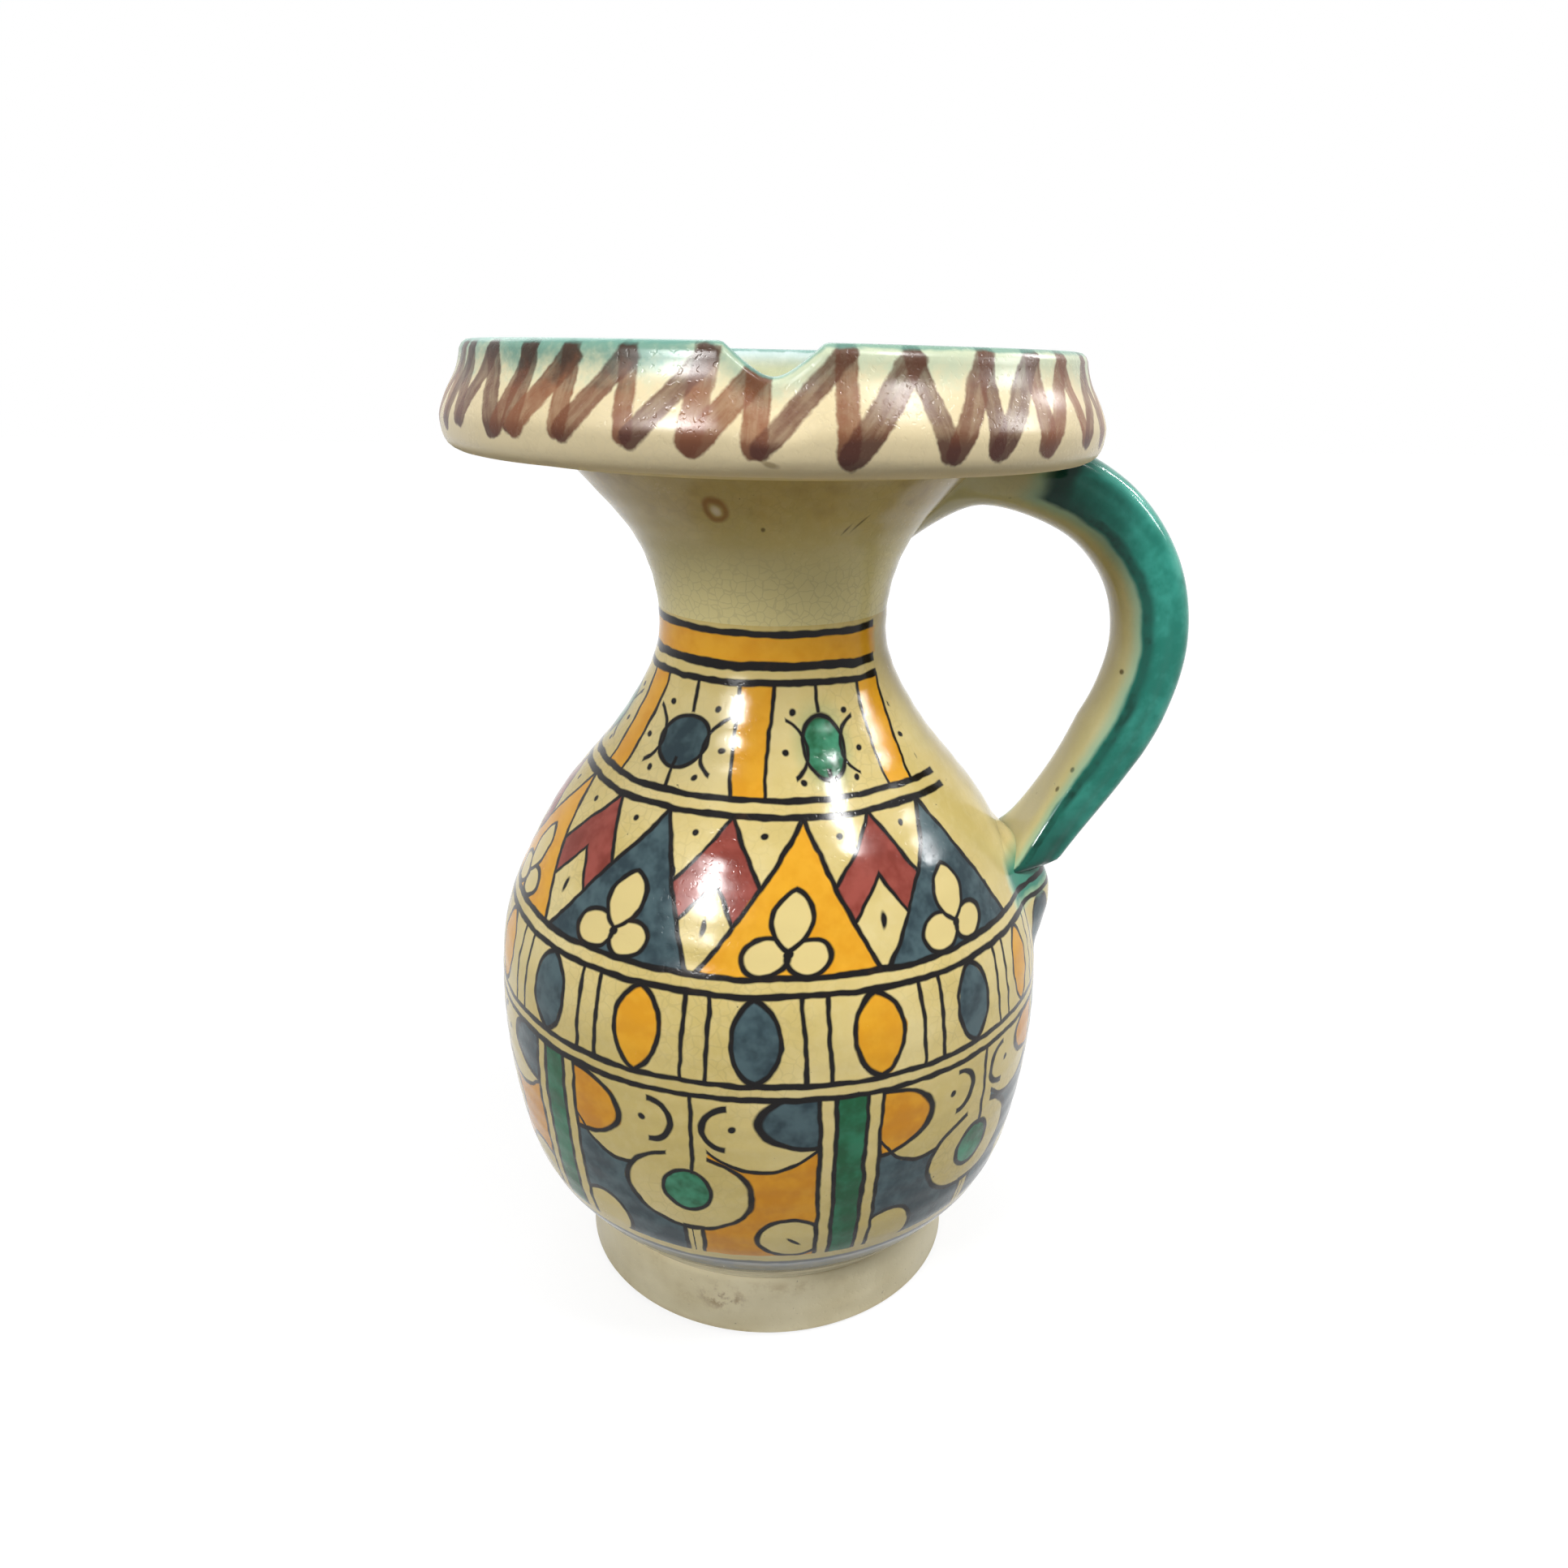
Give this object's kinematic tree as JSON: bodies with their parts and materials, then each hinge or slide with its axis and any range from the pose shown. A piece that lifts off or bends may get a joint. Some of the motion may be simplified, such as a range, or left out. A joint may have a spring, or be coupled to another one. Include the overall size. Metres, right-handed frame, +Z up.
{
  "type": "ceramic jug",
  "caption": "Glazed earthenware jug with a round belly, waisted funnel neck, broad upright collar with a pouring notch, and one side handle.",
  "frame": {"origin": "centre of the flat base, on the jug's axis", "axes": "+Z up along the jug's axis, +X towards the handle, -Y towards the pouring notch"},
  "size_m": [0.2214, 0.187, 0.3],
  "materials": {
    "foot_clay": "thin, half-matte glaze over pale clay",
    "painted_glaze": "glossy cream glaze with painted bands",
    "cream_glaze": "glossy cream glaze",
    "collar_glaze": "glossy cream glaze with brushed brown zigzag",
    "green_glaze": "glossy green glaze, darker where it pools"
  },
  "bodies": {
    "root": {"base_foot": "foot_clay", "belly": "painted_glaze", "neck": "cream_glaze", "rim_collar": "collar_glaze", "handle_upper_wad": "cream_glaze", "handle": "green_glaze", "handle_lower_wad": "painted_glaze"}
  },
  "joints": []
}
